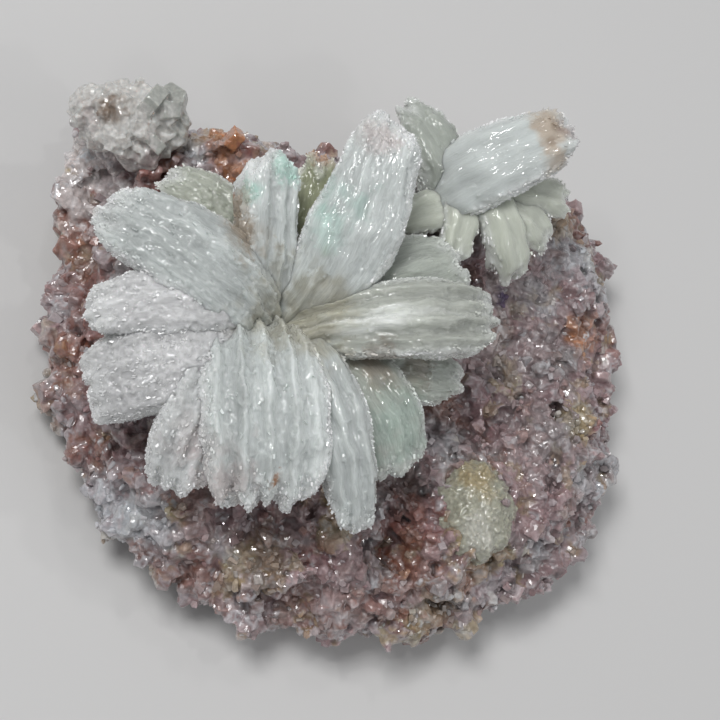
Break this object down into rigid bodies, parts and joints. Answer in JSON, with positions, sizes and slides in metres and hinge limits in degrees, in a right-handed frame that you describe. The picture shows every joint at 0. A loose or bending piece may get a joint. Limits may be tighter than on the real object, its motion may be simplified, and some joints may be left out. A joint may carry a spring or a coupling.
{
  "type": "gypsum flower mineral specimen",
  "caption": "Flat-backed plate of intergrown crystals that carries rosettes of thick, curved, fibrous gypsum blades, a pale crystal button and a corner crystal cluster.",
  "frame": {"origin": "middle of the plate's flat back, on the surface that the specimen lies on", "axes": "+Z out of the flat back, towards the blades; +Y towards the edge with the corner cluster and the second flower; +X along the plate's longest side, towards the second flower"},
  "size_m": [0.138, 0.1226, 0.0651],
  "materials": {
    "white_gypsum": "silky fibrous satin",
    "cream_gypsum": "translucent satin",
    "matrix_rock": "rough, sparkling small crystals"
  },
  "bodies": {
    "root": {"bottom_broad_blade": "white_gypsum", "tall_blade": "white_gypsum", "lower_right_blade": "white_gypsum", "upper_left_blade": "white_gypsum", "right_front_blade": "white_gypsum", "left_blade": "white_gypsum", "bottom_left_blade": "white_gypsum", "lower_left_blade": "white_gypsum", "upper_small_blade": "white_gypsum", "right_back_blade": "white_gypsum", "lower_right_back_blade": "white_gypsum", "right_low_blade": "white_gypsum", "back_green_blade": "white_gypsum", "back_left_blade": "white_gypsum", "second_large_blade": "white_gypsum", "second_front_blade": "white_gypsum", "second_left_blade": "white_gypsum", "second_right_blade": "white_gypsum", "second_far_blade": "white_gypsum", "second_side_blade": "white_gypsum", "second_back_blade": "white_gypsum", "pale_button": "cream_gypsum", "corner_cluster": "cream_gypsum", "matrix": "matrix_rock"}
  },
  "joints": []
}
